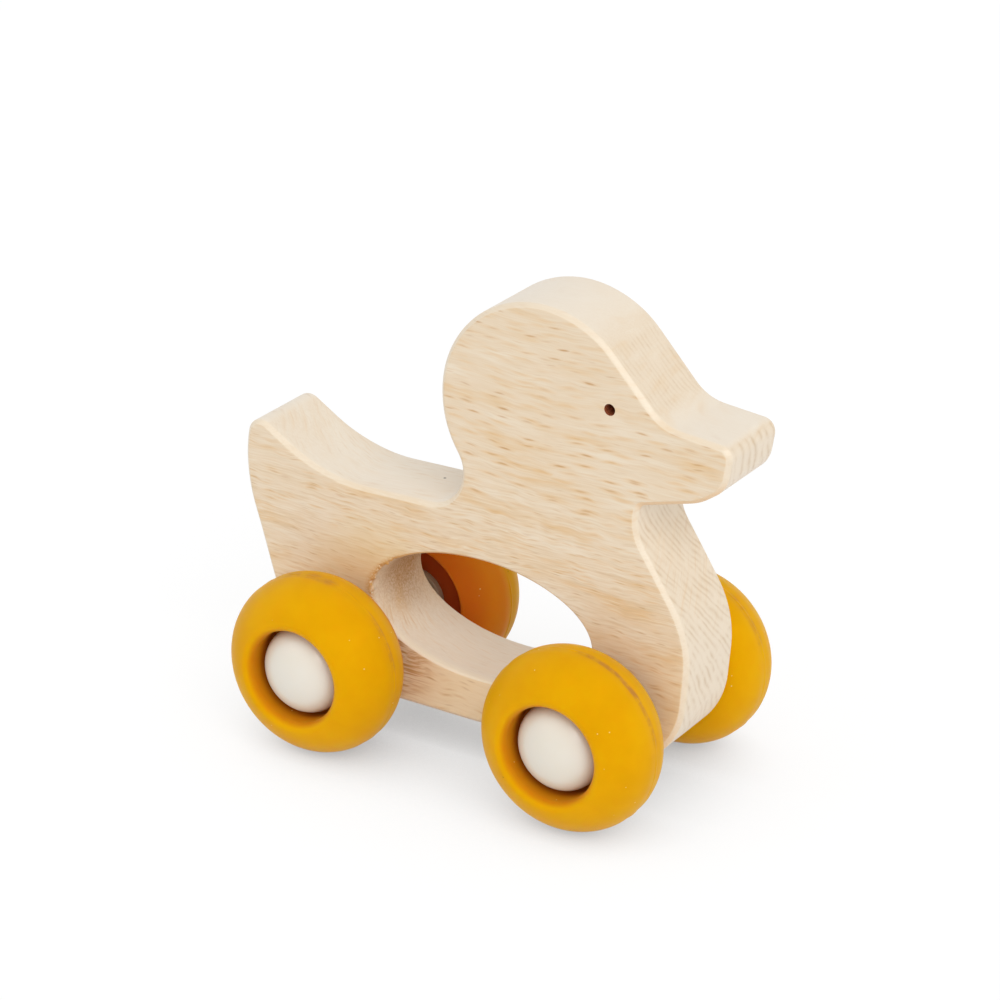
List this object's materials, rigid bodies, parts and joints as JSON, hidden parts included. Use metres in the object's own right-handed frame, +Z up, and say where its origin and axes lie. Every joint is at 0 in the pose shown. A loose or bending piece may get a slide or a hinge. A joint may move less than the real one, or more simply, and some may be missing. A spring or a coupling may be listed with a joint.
{
  "type": "duck push toy",
  "caption": "Wooden duck push toy: a duck-shaped plank with an oval grip hole that rolls on soft ring tyres, carried by domed hubs on steel axles.",
  "frame": {"origin": "on the floor under the middle of the toy's length, in the plank's middle plane", "axes": "+X from the tail to the bill, +Y to the duck's left side, +Z up"},
  "size_m": [0.1116, 0.0648, 0.1011],
  "materials": {
    "beech": "sanded untreated beech",
    "silicone": "matte moulded mustard silicone",
    "abs": "smooth moulded ivory ABS",
    "nylon": "satin turned ivory nylon",
    "steel": "drawn bright steel"
  },
  "bodies": {
    "body": {"duck_body": "beech"},
    "front_wheels": {"front_axle": "steel", "front_left_tyre": "silicone", "front_left_hub": "abs", "front_left_hub_cap": "abs", "front_left_spacer": "nylon", "front_right_tyre": "silicone", "front_right_hub": "abs", "front_right_hub_cap": "abs", "front_right_spacer": "nylon"},
    "rear_wheels": {"rear_axle": "steel", "rear_left_tyre": "silicone", "rear_left_hub": "abs", "rear_left_hub_cap": "abs", "rear_left_spacer": "nylon", "rear_right_tyre": "silicone", "rear_right_hub": "abs", "rear_right_hub_cap": "abs", "rear_right_spacer": "nylon"}
  },
  "joints": [
    {"name": "front_wheels_spin", "type": "hinge", "parent": "body", "child": "front_wheels", "pos_m": [0.0306, 0, 0.019], "axis": [0, 1, 0], "continuous": true},
    {"name": "rear_wheels_spin", "type": "hinge", "parent": "body", "child": "rear_wheels", "pos_m": [-0.0294, 0, 0.019], "axis": [0, 1, 0], "continuous": true}
  ]
}
